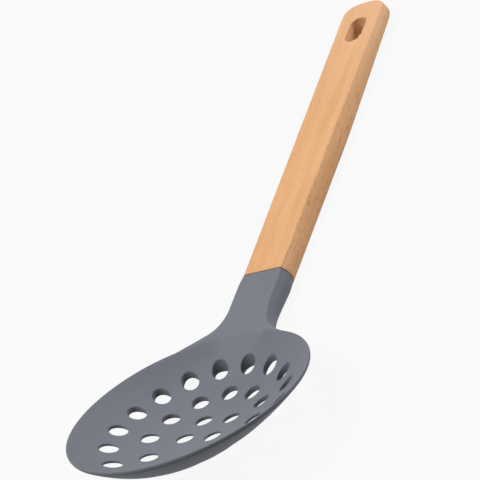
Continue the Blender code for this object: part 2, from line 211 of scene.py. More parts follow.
# Nylon
SPECULAR = 0.2                      # of the nylon and of the beech
CLOUD_NOISE = (45.0, 3.0)           # scale and detail
PEBBLE_NOISE = (2600.0, 2.0)
SCUFF_GRAIN = (9.0 * MM, 0.35 * MM, 3.0, 0.0)  # length, width, detail and shift
SCUFF_RANGE = (0.66, 0.78)          # values of the noise between which a scuff comes in
SCUFF_SHARE = 0.12
SCUFF_HEIGHT = 0.4
NYLON_BUMP = (0.25, 0.05 * MM)      # strength and depth
NYLON_ROUGHNESS = 0.5
CLOUD_ROUGHNESS = 0.14              # what the clouds and the pebbles add to it
PEBBLE_ROUGHNESS = 0.06

# Growth rings of the beech, about a pith that lies outside the handle
PITH_Y = 22.0 * MM
PITH_Z = -46.0 * MM
BAND_WIDTH = 3.4 * MM               # one year's growth
BAND_DRIFT = 3.0 * MM               # how far the rings wander along the handle

# Grain of the beech: length and width along and across the handle, detail and shift
DRIFT_GRAIN = (70.0 * MM, 9.0 * MM, 1.0, 0.0)
BROAD_GRAIN = (70.0 * MM, 5.0 * MM, 2.0, 3.0)
STREAK_GRAIN = (28.0 * MM, 0.8 * MM, 3.0, 7.0)
PORE_GRAIN = (2.2 * MM, 0.16 * MM, 1.0, 1.0)
PATCH_GRAIN = (26.0 * MM, 3.5 * MM, 2.0, 5.0)
RAY_FLECKS = (5.0 * MM, 0.7 * MM, 0.46, 0.8)  # length, width, size in its cell and share of cells
RAY_SLANT = (0.0, 0.3, 0.4)         # turn of the ray flecks' cells, which breaks up their rows

# Values of the noise, or of the facing, between which each effect comes in
TONE_RANGE = (0.3, 0.7)
PORE_RANGE = (0.60, 0.74)
PATCH_RANGE = (0.42, 0.58)
FLAT_RANGE = (0.70, 0.98)
END_RANGE = (0.45, 0.95)
FADE_START = 0.45                   # where the wood begins to fade, in handle lengths

# Strength of each effect on the beech
BAND_SHARE = 0.2
BROAD_SHARE = 0.4
STREAK_SHARE = 0.3
# painted shade: how much warmer and darker the flanks are drawn than the flat top
FLANK_SHADE_SHARE = 0.2
RAY_SHARE = 0.16
RAY_FLANK_SHARE = 0.5               # what the flanks add to that
RAY_CLEAR_SHARE = 0.2               # how much of the rays is left outside their patches
PORE_SHARE = 0.16
PORE_FLANK_SHARE = 0.2
END_SHARE = 0.3
FADE_SHARE = 0.35
STREAK_HEIGHT = 0.3
PORE_DEPTH = 0.7
RAY_DEPTH = 0.25
BEECH_BUMP = (0.22, 0.08 * MM)      # strength and depth
BEECH_ROUGHNESS = 0.48
PORE_ROUGHNESS = 0.15
BROAD_ROUGHNESS = 0.16

# Glue
GLUE_NOISE = (180.0, 4.0)           # scale and detail
GLUE_RANGE = (0.35, 0.65)           # values of the noise between which it turns cloudy
BUBBLE_SCALE = 900.0
GLUE_BUMP = (0.3, 0.1 * MM)         # strength and depth
GLUE_ROUGHNESS = 0.28
GLUE_CLOUD_ROUGHNESS = 0.2          # what the clouds add to it

# Studio
FLOOR_SIZE = 6.0                    # in metres
FLOOR_LEVEL = -0.1 * MM             # just clear of the handle's flat underside
FLOOR_ROUGHNESS = 0.9
FLOOR_SPECULAR = 0.1
FLOOR_WHITENESS = 0.92              # how much of the floor the camera sees as plain white
SKY_LIGHT = 0.03                    # light from all round, as a part of the white that the camera sees
LAMPS = (
    # name, place, aim, size and power
    ("key", (-0.42, 0.55, 1.55), (0.0, 0.0, 0.0), 1.0, 27.5),
    ("fill", (0.9, -0.95, 0.55), (0.05, 0.0, 0.0), 0.6, 11.5),
)

# Places worked out from the sizes above
BEND_START = RIM_RADIUS
BEND_END = BEND_START + BEND_RADIUS * BOWL_TILT
JOINT = BEND_END + NECK_STRAIGHT
SHOULDER_MIDDLE = math.sqrt((RIM_RADIUS + SHOULDER_RADIUS) ** 2
                            - (NECK_HALF_WIDTH + SHOULDER_RADIUS) ** 2)
SHOULDER_ANGLE = math.asin((NECK_HALF_WIDTH + SHOULDER_RADIUS) / (RIM_RADIUS + SHOULDER_RADIUS))
TANG_LEVEL = -HANDLE_THICKNESS / 2


class Field:
    """A value in a node tree. Sums, products and comparisons of fields add their Math nodes."""

    def __init__(self, tree, node, output=0):
        self.tree = tree
        self.node = node
        self.socket = node.outputs[output]

    def __getitem__(self, output):
        return Field(self.tree, self.node, output)

    def math(self, operation, *others):
        return self.tree.node("ShaderNodeMath", {"operation": operation}, dict(enumerate((self, *others))))

    def reflected(self, operation, first):
        return self.tree.node("ShaderNodeMath", {"operation": operation}, {0: first, 1: self})

    def __add__(self, other):
        return self.math("ADD", other)

    __radd__ = __add__

    def __mul__(self, other):
        return self.math("MULTIPLY", other)

    __rmul__ = __mul__

    def __sub__(self, other):
        return self.math("SUBTRACT", other)

    def __rsub__(self, other):
        return self.reflected("SUBTRACT", other)

    def __truediv__(self, other):
        return self.math("DIVIDE", other)

    def __rtruediv__(self, other):
        return self.reflected("DIVIDE", other)

    def __gt__(self, other):
        return self.math("GREATER_THAN", other)

    def __lt__(self, other):
        return self.math("LESS_THAN", other)


class Tree:
    """A node tree in which one method makes every node."""

    def __init__(self, tree):
        self.tree = tree

    def fill(self, node, inputs):
        """Give a node's sockets their values or links."""
        for key, value in inputs.items():
            if isinstance(value, Field):
                self.tree.links.new(value.socket, node.inputs[key])
            else:
                node.inputs[key].default_value = value

    def node(self, kind, settings=None, inputs=None, output=0):
        """A new node of this kind, with its settings first and then its sockets."""
        made = self.tree.nodes.new(kind)
        for name, value in (settings or {}).items():
            setattr(made, name, value)
        self.fill(made, inputs or {})
        return Field(self, made, output)

    def mix(self, share, first, second):
        """A colour between two colours."""
        return self.node("ShaderNodeMix", {"data_type": "RGBA"}, {0: share, 6: first, 7: second}, 2)

    def between(self, value, low, high):
        """Ease from 0 at the low value to 1 at the high one."""
        return self.node("ShaderNodeMapRange", {"interpolation_type": "SMOOTHSTEP"},
                         {"Value": value, "From Min": low, "From Max": high})

    def parts(self, vector):
        """The X, Y and Z of a vector."""
        return self.node("ShaderNodeSeparateXYZ", None, {0: vector})

    def vector(self, x, y, z):
        """A vector from its X, Y and Z."""
        return self.node("ShaderNodeCombineXYZ", None, {"X": x, "Y": y, "Z": z})

    def bump(self, strength, depth, height):
        """A normal that follows the height of a relief of this strength and depth."""
        return self.node("ShaderNodeBump", None, {"Strength": strength, "Distance": depth, "Height": height})

    def seen(self):
        """1 for what the camera sees, also in a reflection or through glass, and 0 for other light."""
        path = self.node("ShaderNodeLightPath")
        direct = path["Is Camera Ray"].math("MAXIMUM", path["Is Glossy Ray"])
        return direct.math("MAXIMUM", path["Is Transmission Ray"])

    def noise(self, spot, scale, detail):
        """Noise with this many cells to the metre."""
        return self.node("ShaderNodeTexNoise", None, {"Vector": spot, "Scale": scale, "Detail": detail})

    def grain(self, spot, length, width, detail, shift):
        """Noise in grains of this length along the handle and this width across it."""
        drawn = self.node("ShaderNodeMapping", None, {"Vector": spot, "Location": (shift, shift, shift),
                                                      "Scale": (1 / length, 1 / width, 1 / width)})
        return self.noise(drawn, 1.0, detail)

    def flecks(self, spot, length, width, size, share):
        """Spindles scattered along the handle, in this share of cells of this length and width."""
        drawn = self.node("ShaderNodeMapping", None, {"Vector": spot, "Rotation": RAY_SLANT,
                                                      "Scale": (1 / length, 1 / width, 1 / width)})
        cell = self.node("ShaderNodeTexVoronoi", None, {"Vector": drawn, "Scale": 1.0})
        chance = self.node("ShaderNodeSeparateColor", None, {"Color": cell["Color"]})
        return (1 - self.between(cell["Distance"], size / 2, size)) * (chance["Red"] < share)


def smooth_step(value):
    """Ease from 0 to 1."""
    value = min(max(value, 0.0), 1.0)
    return value * value * (3.0 - 2.0 * value)


def soft_min(first, second, blend):
    """The lower of two heights, with their crossing rounded off over the blend."""
    overlap = max(blend - abs(first - second), 0.0)
    return min(first, second) - overlap * overlap / (4.0 * blend)


def spine(along):
    """Place and slope of the head's edge line, at a distance along it from the middle of the bowl."""
    if along >= BEND_END:
        return along - JOINT, 0.0, 0.0
    slope = min((BEND_END - along) / BEND_RADIUS, BOWL_TILT)
    straight = max(BEND_START - along, 0.0)
    x = -NECK_STRAIGHT - BEND_RADIUS * math.sin(slope) - straight * math.cos(slope)
    z = BEND_RADIUS * (1.0 - math.cos(slope)) + straight * math.sin(slope)
    return x, z, slope


def place(along, across, height):
    """A point of the head from its distance along the spine, across it and above it."""
    x, z, slope = spine(along)
    return Vector((x + height * math.sin(slope), across, z + height * math.cos(slope)))


def bowl_floor(along, across):
    """Height of the dished floor over the rim plane."""
    share = along / RIM_RADIUS
    radius = math.hypot(along, across) / RIM_RADIUS
    if radius == 0.0:
        return -BOWL_DEPTH
    power = FLOOR_POWER + FLANK_POWER * (1.0 - (share / radius) ** 2)
    fullness = 1.0 + FLOOR_LEAN * share + FLOOR_ENDS * share * share
    return -BOWL_DEPTH * (1.0 - radius ** power) * fullness


def bowl_outside(along, across):
    """Height of the bowl's outer face, one wall below its floor."""
    here = bowl_floor(along, across)
    rise = (bowl_floor(along + SLOPE_STEP, across) - here) / SLOPE_STEP
    lift = (bowl_floor(along, across + SLOPE_STEP) - here) / SLOPE_STEP
    radius = min(math.hypot(along, across) / RIM_RADIUS, 1.0)
    thickening = smooth_step((along - NECK_WALL_START) / (RIM_RADIUS - NECK_WALL_START))
    wall = BOWL_WALL + (NECK_WALL - BOWL_WALL + FLANK_WALL * (across / RIM_RADIUS) ** 2) * thickening
    wall += (RIM_WALL - wall) * radius ** RIM_THINNING
    return here - wall * math.sqrt(1.0 + rise * rise + lift * lift)


def head_top(along, across):
    """Upper face: the dished floor, cut off by the neck's level top where the neck runs in."""
    _, z, slope = spine(along)
    shoulder = smooth_step((abs(across) - MOUTH_FLAT) / MOUTH_RISE)
    neck_top = -z / math.cos(slope) * (1.0 - shoulder)
    floor = bowl_floor(along, across)
    near_neck = smooth_step((along - RIM_RADIUS + SHOULDER_ROOT) / SHOULDER_ROOT)
    if near_neck == 0.0:
        return min(floor, 0.0)
    return soft_min(floor, neck_top, MOUTH_BLEND * near_neck * (1.0 - MOUTH_TIGHTENING * shoulder))


def head_bottom(along, across):
    """Under face: the bowl's outer face, the rib that runs out into the collar, and the shoulders."""
    _, z, slope = spine(along)
    root = RIM_RADIUS - SHOULDER_ROOT
    inward = max(root - along, 0.0)
    collar = max(along - JOINT + COLLAR_RUN, 0.0) ** 2 / COLLAR_RUN ** 2
    depth = RIB_DEPTH + (HANDLE_THICKNESS - RIB_DEPTH) * collar
    spread = (across * across * (1.0 - collar) + inward * inward) / RIB_HALF_WIDTH ** 2
    rib = (depth * (spread * spread - 1.0) - z) / math.cos(slope)
    shoulder = -SHOULDER_DEPTH * smooth_step((along - root) / (JOINT - root))
    return soft_min(soft_min(bowl_outside(along, across), rib, RIB_BLEND), shoulder, RIB_BLEND)


def neck_half_width(along):
    """Half width of the neck's top, widening from the handle over the collar."""
    flare = smooth_step((JOINT - along) / COLLAR_FLARE)
    return TOP_HALF_WIDTH + (NECK_HALF_WIDTH - TOP_HALF_WIDTH) * flare


def head_outline():
    """Half of the head's outline in plan, from the joint to the tip, as points with outward directions."""
    outline = []
    start = JOINT - GAP / 2 - JOINT_EASE
    for step in range(NECK_STEPS):
        along = start + (SHOULDER_MIDDLE - start) * step / NECK_STEPS
        outline.append((along, neck_half_width(along), 0.0, 1.0))
    for step in range(SHOULDER_STEPS):
        turn = math.pi / 2 + (math.pi / 2 - SHOULDER_ANGLE) * step / SHOULDER_STEPS
        out_along = -math.cos(turn)
        out_across = math.sin(turn)
        outline.append((SHOULDER_MIDDLE - SHOULDER_RADIUS * out_along,
                        NECK_HALF_WIDTH + SHOULDER_RADIUS * (1.0 - out_across), out_along, out_across))
    for step in range(RIM_STEPS + 1):
        turn = SHOULDER_ANGLE + (math.pi - SHOULDER_ANGLE) * step / RIM_STEPS
        across = math.sin(turn) if step < RIM_STEPS else 0.0
        outline.append((RIM_RADIUS * math.cos(turn), RIM_RADIUS * across, math.cos(turn), across))
    return outline


def side_arc(top, bottom, bulge, ease):
    """Outward offsets and heights of a bulging side, from just under its top edge to just above the other."""
    nose = SIDE_NOSE + RIM_NOSE * (RIM_WALL / (top - bottom)) ** 2
    half = (top - bottom) / 2
    radius = (half * half + bulge * bulge) / (2.0 * bulge)
    reach = math.asin(half / radius)
    margin = ease / (2.0 * reach * radius)
    arc = []
    for step in range(SIDE_STEPS + 1):
        turn = reach * (1.0 - 2.0 * (margin + (1.0 - 2.0 * margin) * step / SIDE_STEPS))
        share = 0.5 - radius * math.sin(turn) / (top - bottom)
        arc.append((radius * (math.cos(turn) - math.cos(reach)), top - (top - bottom) * share ** nose))
    return arc


def eased(first, corner, last):
    """Points that round off a corner between two points, without the two."""
    points = []
    for step in range(1, EASE_STEPS):
        share = step / EASE_STEPS
        points.append(first.lerp(corner, share).lerp(corner.lerp(last, share), share))
    return points


def closed_rung(top, upper, side, lower, bottom):
    """A rung from the middle of the top round the eased side to the middle of the underside."""
    return (top + eased(top[-1], upper, side[0]) + side
            + eased(side[-1], lower, bottom[-1]) + bottom[::-1])


def head_rung(along, across, out_along, out_across):
    """One rung of the head. They draw together in the bowl, and in its tip half all start at its middle."""
    middle = along
    if along < SHOULDER_MIDDLE:
        middle = max(along, 0.0) ** 2 / SHOULDER_MIDDLE
    upper = head_top(along, across)
    lower = head_bottom(along, across)
    ease = min(HEAD_EASE, EASE_LIMIT * (upper - lower))
    inside = 1.0 - ease / math.hypot(along - middle, across)
    spots = []
    for step in range(RUNG_STEPS + 1):
        share = inside * step / RUNG_STEPS
        spots.append((middle + (along - middle) * share, across * share))
    side = [place(along + out_along * offset, across + out_across * offset, height)
            for offset, height in side_arc(upper, lower, SIDE_BULGE * (upper - lower), ease)]
    return closed_rung([place(*spot, head_top(*spot)) for spot in spots], place(along, across, upper), side,
                       place(along, across, lower), [place(*spot, head_bottom(*spot)) for spot in spots])


def handle_thickness(x):
    """Thickness of the handle: level from the joint, then thinning to the end."""
    share = max(x - LEVEL_RUN, 0.0) / (HANDLE_LENGTH - LEVEL_RUN)
    return HANDLE_THICKNESS + (END_THICKNESS - HANDLE_THICKNESS) * share ** UNDERSIDE_POWER


def handle_outline():
    """Half of the handle's flat top in plan, from the joint round to the middle of its end."""
    start = GAP / 2 + JOINT_EASE
    straight_end = HANDLE_LENGTH - END_CORNER
    taper = (END_HALF_WIDTH - TOP_HALF_WIDTH) / straight_end
    outline = []
    for step in range(HANDLE_STEPS):
        x = start + (straight_end - start) * step / HANDLE_STEPS
        outline.append((x, TOP_HALF_WIDTH + taper * x, 0.0, 1.0))
    for step in range(END_STEPS + 1):
        turn = math.pi / 2 * step / END_STEPS
        across = math.cos(turn) if step < END_STEPS else 0.0
        out = Vector((math.sin(turn) ** (2.0 - 2.0 / END_POWER) / END_CORNER,
                      across ** (2.0 - 2.0 / END_POWER) / END_HALF_WIDTH)).normalized()
        outline.append((straight_end + END_CORNER * math.sin(turn) ** (2.0 / END_POWER),
                        END_HALF_WIDTH * across ** (2.0 / END_POWER), out.x, out.y))
    return outline


def handle_rung(x, y, out_x, out_y):
    """One rung of the handle."""
    middle = min(x, HANDLE_LENGTH - END_CORNER)
    waver = noise.noise(Vector((x / EASE_WAVE, 0.0, 0.0)))
    ease = HANDLE_EASE * (1.0 + EASE_WAVER * waver)
    inside = 1.0 - ease / math.hypot(x - middle, y)
    lower = -handle_thickness(x)
    bulge = SIDE_BULGE + (END_BULGE - SIDE_BULGE) * max(out_x, 0.0)
    side = [Vector((x + out_x * offset, y + out_y * offset, height))
            for offset, height in side_arc(0.0, lower, -bulge * lower, ease)]
    top = []
    bottom = []
    for step in range(HANDLE_COLUMNS + 1):
        share = inside * step / HANDLE_COLUMNS
        spot = (middle + (x - middle) * share, y * share)
        top.append(Vector((*spot, 0.0)))
        bottom.append(Vector((*spot, -handle_thickness(spot[0]))))
    return closed_rung(top, Vector((x, y, 0.0)), side, Vector((x, y, lower)), bottom)


def joint_rung(rung, x):
    """The rung at the joint's face: the next one, drawn in by the eased edge."""
    level = -HANDLE_THICKNESS / 2
    narrower = 1.0 - JOINT_EASE / TOP_HALF_WIDTH
    lower = 1.0 + JOINT_EASE / level
    return [Vector((x, point.y * narrower, level + (point.z - level) * lower)) for point in rung]


def stadium(half_run, radius):
    """Points of a slot's outline with round ends, along X."""
    points = []
    for step in range(SLOT_STEPS):
        turn = 2.0 * math.pi * (step + 0.5) / SLOT_STEPS
        run = math.copysign(half_run, math.cos(turn))
        points.append((run + radius * math.cos(turn), radius * math.sin(turn)))
    return points


def mesh_object(name, build):
    """A new object whose mesh is drawn by a function."""
    drawing = bmesh.new()
    build(drawing)
    mesh = bpy.data.meshes.new(name)
    drawing.to_mesh(mesh)
    drawing.free()
    piece = bpy.data.objects.new(name, mesh)
    bpy.context.scene.collection.objects.link(piece)
    return piece


def symmetric_body(rungs):
    """A function that draws a body through the rungs of its left half, and its right half with it."""
    def build(drawing):
        rows = [[drawing.verts.new(point) for point in rung] for rung in rungs]
        drawing.faces.new(rows[0])
        for row, following in zip(rows, rows[1:]):
            for step in range(len(row) - 1):
                drawing.faces.new((row[step], following[step], following[step + 1], row[step + 1]))
        bmesh.ops.remove_doubles(drawing, verts=drawing.verts, dist=MERGE_DISTANCE)
        bmesh.ops.mirror(drawing, geom=drawing.verts[:] + drawing.edges[:] + drawing.faces[:], axis="Y",
                         merge_dist=MERGE_DISTANCE)
        bmesh.ops.remove_doubles(drawing, verts=drawing.verts, dist=MERGE_DISTANCE)
        bmesh.ops.recalc_face_normals(drawing, faces=drawing.faces)
    return build


def loft(rings):
    """A function that draws a closed body through rings of points."""
    def build(drawing):
        rows = [[drawing.verts.new(point) for point in ring] for ring in rings]
        drawing.faces.new(rows[0])
        drawing.faces.new(rows[-1])
        for row, following in zip(rows, rows[1:]):
            for step in range(len(row)):
                after = (step + 1) % len(row)
                drawing.faces.new((row[step], row[after], following[after], following[step]))
        bmesh.ops.recalc_face_normals(drawing, faces=drawing.faces)
    return build


def block(low, high):
    """A function that draws a box between two corners."""
    def build(drawing):
        size = Vector(high) - Vector(low)
        middle = (Vector(high) + Vector(low)) / 2
        matrix = Matrix.Translation(middle) @ Matrix.Diagonal((*size, 1.0))
        bmesh.ops.create_cube(drawing, size=1.0, matrix=matrix)
    return build


def level_square(size, level):
    """A function that draws a level square about the origin."""
    def build(drawing):
        bmesh.ops.create_grid(drawing, size=size / 2, matrix=Matrix.Translation((0.0, 0.0, level)))
    return build


def settle(piece):
    """Turn a piece's modifiers into its plain mesh."""
    evaluated = piece.evaluated_get(bpy.context.evaluated_depsgraph_get())
    mesh = bpy.data.meshes.new_from_object(evaluated)
    piece.modifiers.clear()
    piece.data = mesh


def combine(piece, other, operation):
    """Cut another shape out of a piece, or join it on."""
    step = piece.modifiers.new(other.name, "BOOLEAN")
    step.operation = operation
    step.solver = "EXACT"
    step.object = other
    settle(piece)
    bpy.data.objects.remove(other)


def clean(piece):
    """Cut a piece's faces into triangles, and take out those of no area that the cuts leave."""
    drawing = bmesh.new()
    drawing.from_mesh(piece.data)
    bmesh.ops.triangulate(drawing, faces=drawing.faces, quad_method="BEAUTY", ngon_method="BEAUTY")
    bmesh.ops.dissolve_degenerate(drawing, edges=drawing.edges, dist=MERGE_DISTANCE)
    drawing.to_mesh(piece.data)
    drawing.free()


def tang_outline():
    """Outline of the tang in plan, with notches along both edges that key into the glue."""
    half = TANG_WIDTH / 2
    pitch = TANG_LENGTH / (TANG_NOTCHES + 1)
    edge = [(-GAP / 2 - TANG_ROOT, half)]
    for notch in range(1, TANG_NOTCHES + 1):
        middle = notch * pitch
        edge.append((middle - pitch * NOTCH_MOUTH, half))
        edge.append((middle - pitch * NOTCH_FLOOR, half - TANG_NOTCH_DEPTH))
        edge.append((middle + pitch * NOTCH_FLOOR, half - TANG_NOTCH_DEPTH))
        edge.append((middle + pitch * NOTCH_MOUTH, half))
    corner = half / 2
    edge.append((TANG_LENGTH - corner, half))
    edge.append((TANG_LENGTH, half - corner))
    return edge + [(x, -y) for x, y in reversed(edge)]


def slot_edge(ease):
    """Heights over a face and widenings of the slot's eased edge, from above the face down to the wall."""
    rise, widening = SLOT_RUN_OUT
    edge = [(rise * ease, widening * ease)]
    for step in range(SLOT_RINGS + 1):
        turn = SLOT_TURN * (1.0 - step / SLOT_RINGS)
        edge.append((-ease * (1.0 - math.sin(turn)), ease * (1.0 - math.cos(turn))))
    return edge


def slot_rings():
    """Outlines of the hanging slot from above the top face to below the underside, eased at both faces."""
    middle = HANDLE_LENGTH - SLOT_FROM_END
    below = -handle_thickness(middle)
    half_run = (SLOT_LENGTH - SLOT_WIDTH) / 2
    levels = [(level, flare + SLOT_DRAFT) for level, flare in slot_edge(SLOT_EASE)]
    levels += [(below - level, flare) for level, flare in reversed(slot_edge(SLOT_UNDER_EASE))]
    return [[Vector((middle + x, y, level)) for x, y in stadium(half_run, SLOT_WIDTH / 2 + flare)]
            for level, flare in levels]


def ring_places(tree, given):
    """Points of one ring of holes in the rim plane."""
    step = tree.node("GeometryNodeInputIndex")
    even = (step + given["Start"]) * (2.0 * math.pi) / given["Holes"]
    turn = even - given["Lean"] * even.math("SINE")
    forward = turn.math("COSINE")
    to_neck = forward > 0.0
    end = to_neck * given["Neck reach"] + (1 - to_neck) * given["Tip reach"]
    reach = given["Flank reach"] + (end - given["Flank reach"]) * forward * forward
    spot = tree.vector(given["Centre"] + reach * forward, reach * turn.math("SINE"), 0.0)
    return tree.node("GeometryNodePoints", None, {"Count": given["Holes"], "Position": spot})


def ring_pin(tree, given):
    """A pin that widens at both ends, with how far each point stands off the face that it will meet."""
    tube = tree.node("GeometryNodeMeshCylinder", None, {"Vertices": given["Hole sides"], "Radius": 1.0,
                                                        "Depth": 2.0, "Side Segments": PIN_LEVELS})
    spot = tree.parts(tree.node("GeometryNodeInputPosition"))
    level = spot["Z"].math("ABSOLUTE") * (PIN_LEVELS / 2) - 0.5
    turn = level.math("MINIMUM", float(EASE_FACETS)) * EASE_TURN
    run_out = (level > EASE_FACETS + 0.5) * given["Edge ease"] * EASE_RUN_OUT
    stub = (level > EASE_FACETS + 1.5) * given["Hole radius"]
    radius = (given["Hole radius"] + given["Edge ease"] * (1 - turn.math("COSINE"))
              + run_out * turn.math("SINE"))
    stand_off = stub + run_out * turn.math("COSINE") - given["Edge ease"] * (1 - turn.math("SINE"))
    shaped = tree.vector(spot["X"] * radius, spot["Y"] * radius, spot["Z"])
    marked = tree.node("GeometryNodeStoreNamedAttribute", {"data_type": "FLOAT", "domain": "POINT"},
                       {"Geometry": tube, "Name": "stand_off", "Value": stand_off})
    marked = tree.node("GeometryNodeStoreNamedAttribute", {"data_type": "FLOAT", "domain": "POINT"},
                       {"Geometry": marked, "Name": "upper", "Value": spot["Z"] > 0.0})
    return tree.node("GeometryNodeSetPosition", None, {"Geometry": marked, "Position": shaped})


def face_height(tree, bowl, spot, above):
    """Height of the bowl's upper or under face at a place, found by a ray square to the rim plane."""
    far = RIM_RADIUS if above else -RIM_RADIUS
    start = tree.vector(spot["X"], spot["Y"], far)
    ray = tree.node("GeometryNodeRaycast", None, {"Target Geometry": bowl, "Source Position": start,
                                                  "Ray Direction": (0.0, 0.0, -math.copysign(1.0, far)),
                                                  "Ray Length": 2.0 * RIM_RADIUS})
    return tree.parts(ray["Hit Position"])["Z"]


def drain_hole_tree():
    """Geometry Nodes that cut one ring of eased drain holes, and the identifiers of its inputs."""
    group = bpy.data.node_groups.new("drain_hole_ring", "GeometryNodeTree")
    group.interface.new_socket(name="Bowl", in_out="INPUT", socket_type="NodeSocketGeometry")
    group.interface.new_socket(name="Bowl", in_out="OUTPUT", socket_type="NodeSocketGeometry")
    identifiers = [group.interface.new_socket(name=name, in_out="INPUT", socket_type=kind).identifier
                   for name, kind in RING_INPUTS]
    tree = Tree(group)
    given = tree.node("NodeGroupInput")
    pins = tree.node("GeometryNodeInstanceOnPoints", None, {"Points": ring_places(tree, given),
                                                            "Instance": ring_pin(tree, given)})
    pins = tree.node("GeometryNodeRealizeInstances", None, {"Geometry": pins})
    spot = tree.parts(tree.node("GeometryNodeInputPosition"))
    upper = tree.node("GeometryNodeInputNamedAttribute", {"data_type": "FLOAT"}, {"Name": "upper"})
    stand_off = tree.node("GeometryNodeInputNamedAttribute", {"data_type": "FLOAT"}, {"Name": "stand_off"})
    top = face_height(tree, given["Bowl"], spot, True) + stand_off
    bottom = face_height(tree, given["Bowl"], spot, False) - stand_off
    fitted = tree.vector(spot["X"], spot["Y"], upper * top + (1 - upper) * bottom)
    pins = tree.node("GeometryNodeSetPosition", None, {"Geometry": pins, "Position": fitted})
    cut = tree.node("GeometryNodeMeshBoolean", {"operation": "DIFFERENCE", "solver": "EXACT"},
                    {"Mesh 1": given["Bowl"], "Mesh 2": pins})
    whole = tree.node("GeometryNodeRealizeInstances", None, {"Geometry": cut})
    finished = tree.node("GeometryNodeSetMaterial", None, {"Geometry": whole, "Material": given["Finish"]})
    tree.fill(group.nodes.new("NodeGroupOutput"), {"Bowl": finished})
    return group, identifiers


def new_material(name):
    """A new material, its tree, its shader and the places on the piece."""
    made = bpy.data.materials.new(name)
    made.use_nodes = True
    tree = Tree(made.node_tree)
    place_on_piece = tree.node("ShaderNodeTexCoord", output="Object")
    return made, tree, made.node_tree.nodes["Principled BSDF"], place_on_piece


def nylon():
    """Matte moulded nylon: slate grey, with the fine grain of the mould and faint scuffs."""
    made, tree, shader, spot = new_material("nylon")
    cloud = tree.noise(spot, *CLOUD_NOISE)
    pebble = tree.noise(spot, *PEBBLE_NOISE)
    scuff = tree.between(tree.grain(spot, *SCUFF_GRAIN), *SCUFF_RANGE)
    colour = tree.mix(cloud, NYLON_DARK, NYLON_PALE)
    colour = tree.mix(scuff * SCUFF_SHARE, colour, NYLON_SCUFF)
    roughness = NYLON_ROUGHNESS + cloud * CLOUD_ROUGHNESS + pebble * PEBBLE_ROUGHNESS
    tree.fill(shader, {"Base Color": colour, "Roughness": roughness, "Specular IOR Level": SPECULAR,
                       "Normal": tree.bump(*NYLON_BUMP, pebble + scuff * SCUFF_HEIGHT)})
    return made


def growth_bands(tree, spot):
    """The growth rings where the handle cuts them, from 0 to 1 and back."""
    parts = tree.parts(spot)
    drift = tree.grain(spot, *DRIFT_GRAIN) - 0.5
    side = parts["Y"] - PITH_Y + drift * BAND_DRIFT
    depth = parts["Z"] - PITH_Z
    age = (side * side + depth * depth).math("SQRT") / BAND_WIDTH
    return (age * (2.0 * math.pi)).math("SINE") * 0.5 + 0.5


def beech(joint_place):
    """Sanded and oiled beech: soft growth bands, long streaks, pores and short darker rays."""
    made, tree, shader, spot = new_material("beech")
    facing = tree.parts(tree.node("ShaderNodeNewGeometry", output="Normal"))
    flank = 1 - tree.between(facing["Z"].math("ABSOLUTE"), *FLAT_RANGE)
    end_grain = tree.between(facing["X"].math("ABSOLUTE"), *END_RANGE)
    along = tree.parts(spot)["X"] - joint_place.x
    faded = tree.between(along, FADE_START * HANDLE_LENGTH, HANDLE_LENGTH)
    # painted shade: the wood darkens at its joint face and eased edge, where the gap lies in shadow
    seam_shade = 1 - tree.between(along, GAP / 2, GAP / 2 + JOINT_EASE)
    broad = tree.grain(spot, *BROAD_GRAIN)
    streak = tree.grain(spot, *STREAK_GRAIN)
    pore = tree.between(tree.grain(spot, *PORE_GRAIN), *PORE_RANGE)
    patch = tree.between(tree.grain(spot, *PATCH_GRAIN), *PATCH_RANGE)
    ray = tree.flecks(spot, *RAY_FLECKS) * (RAY_SHARE + flank * RAY_FLANK_SHARE)
    ray = ray * (RAY_CLEAR_SHARE + patch * (1.0 - RAY_CLEAR_SHARE))

    tone = growth_bands(tree, spot) * BAND_SHARE + tree.between(broad, *TONE_RANGE) * BROAD_SHARE
    # the flank term is painted shade, which draws the sides darker than the top
    tone = tone + tree.between(streak, *TONE_RANGE) * STREAK_SHARE + flank * FLANK_SHADE_SHARE
    colour = tree.mix(tone, BEECH_PALE, BEECH_WARM)
    colour = tree.mix(ray, colour, BEECH_RAY)
    colour = tree.mix(pore * (PORE_SHARE + flank * PORE_FLANK_SHARE), colour, BEECH_PORE)
    colour = tree.mix(end_grain * END_SHARE, colour, BEECH_END)
    colour = tree.mix(faded * FADE_SHARE, colour, BEECH_FADED)
    colour = tree.mix(seam_shade, colour, BEECH_SEAM_SHADE)
    height = streak * STREAK_HEIGHT - pore * PORE_DEPTH - ray * RAY_DEPTH
    roughness = BEECH_ROUGHNESS + pore * PORE_ROUGHNESS + broad * BROAD_ROUGHNESS
    tree.fill(shader, {"Base Color": colour, "Roughness": roughness, "Specular IOR Level": SPECULAR,
                       "Normal": tree.bump(*BEECH_BUMP, height)})
    return made


def cured_glue():
    """Cured wood glue: amber, with a few cloudy bubbles."""
    made, tree, shader, spot = new_material("cured_glue")
    cloud = tree.noise(spot, *GLUE_NOISE)
    bubble = tree.node("ShaderNodeTexVoronoi", None, {"Vector": spot, "Scale": BUBBLE_SCALE})
    colour = tree.mix(tree.between(cloud, *GLUE_RANGE), GLUE_AMBER, GLUE_CLOUDY)
    tree.fill(shader, {"Base Color": colour, "Roughness": GLUE_ROUGHNESS + cloud * GLUE_CLOUD_ROUGHNESS,
                       "Normal": tree.bump(*GLUE_BUMP, bubble["Distance"])})
    return made


def pale_floor():
    """A pale floor that looks white to the camera and keeps a soft shadow."""
    made, tree, shader, _ = new_material("pale_floor")
    tree.fill(shader, {"Base Color": FLOOR_COLOUR, "Roughness": FLOOR_ROUGHNESS,
                       "Specular IOR Level": FLOOR_SPECULAR})
    white = tree.node("ShaderNodeEmission", None, {"Color": WHITE, "Strength": 1.0})
    shown = tree.node("ShaderNodeMixShader", None, {0: tree.seen() * FLOOR_WHITENESS, 1: Field(tree, shader),
                                                    2: white})
    tree.fill(made.node_tree.nodes["Material Output"], {"Surface": shown})
    return made


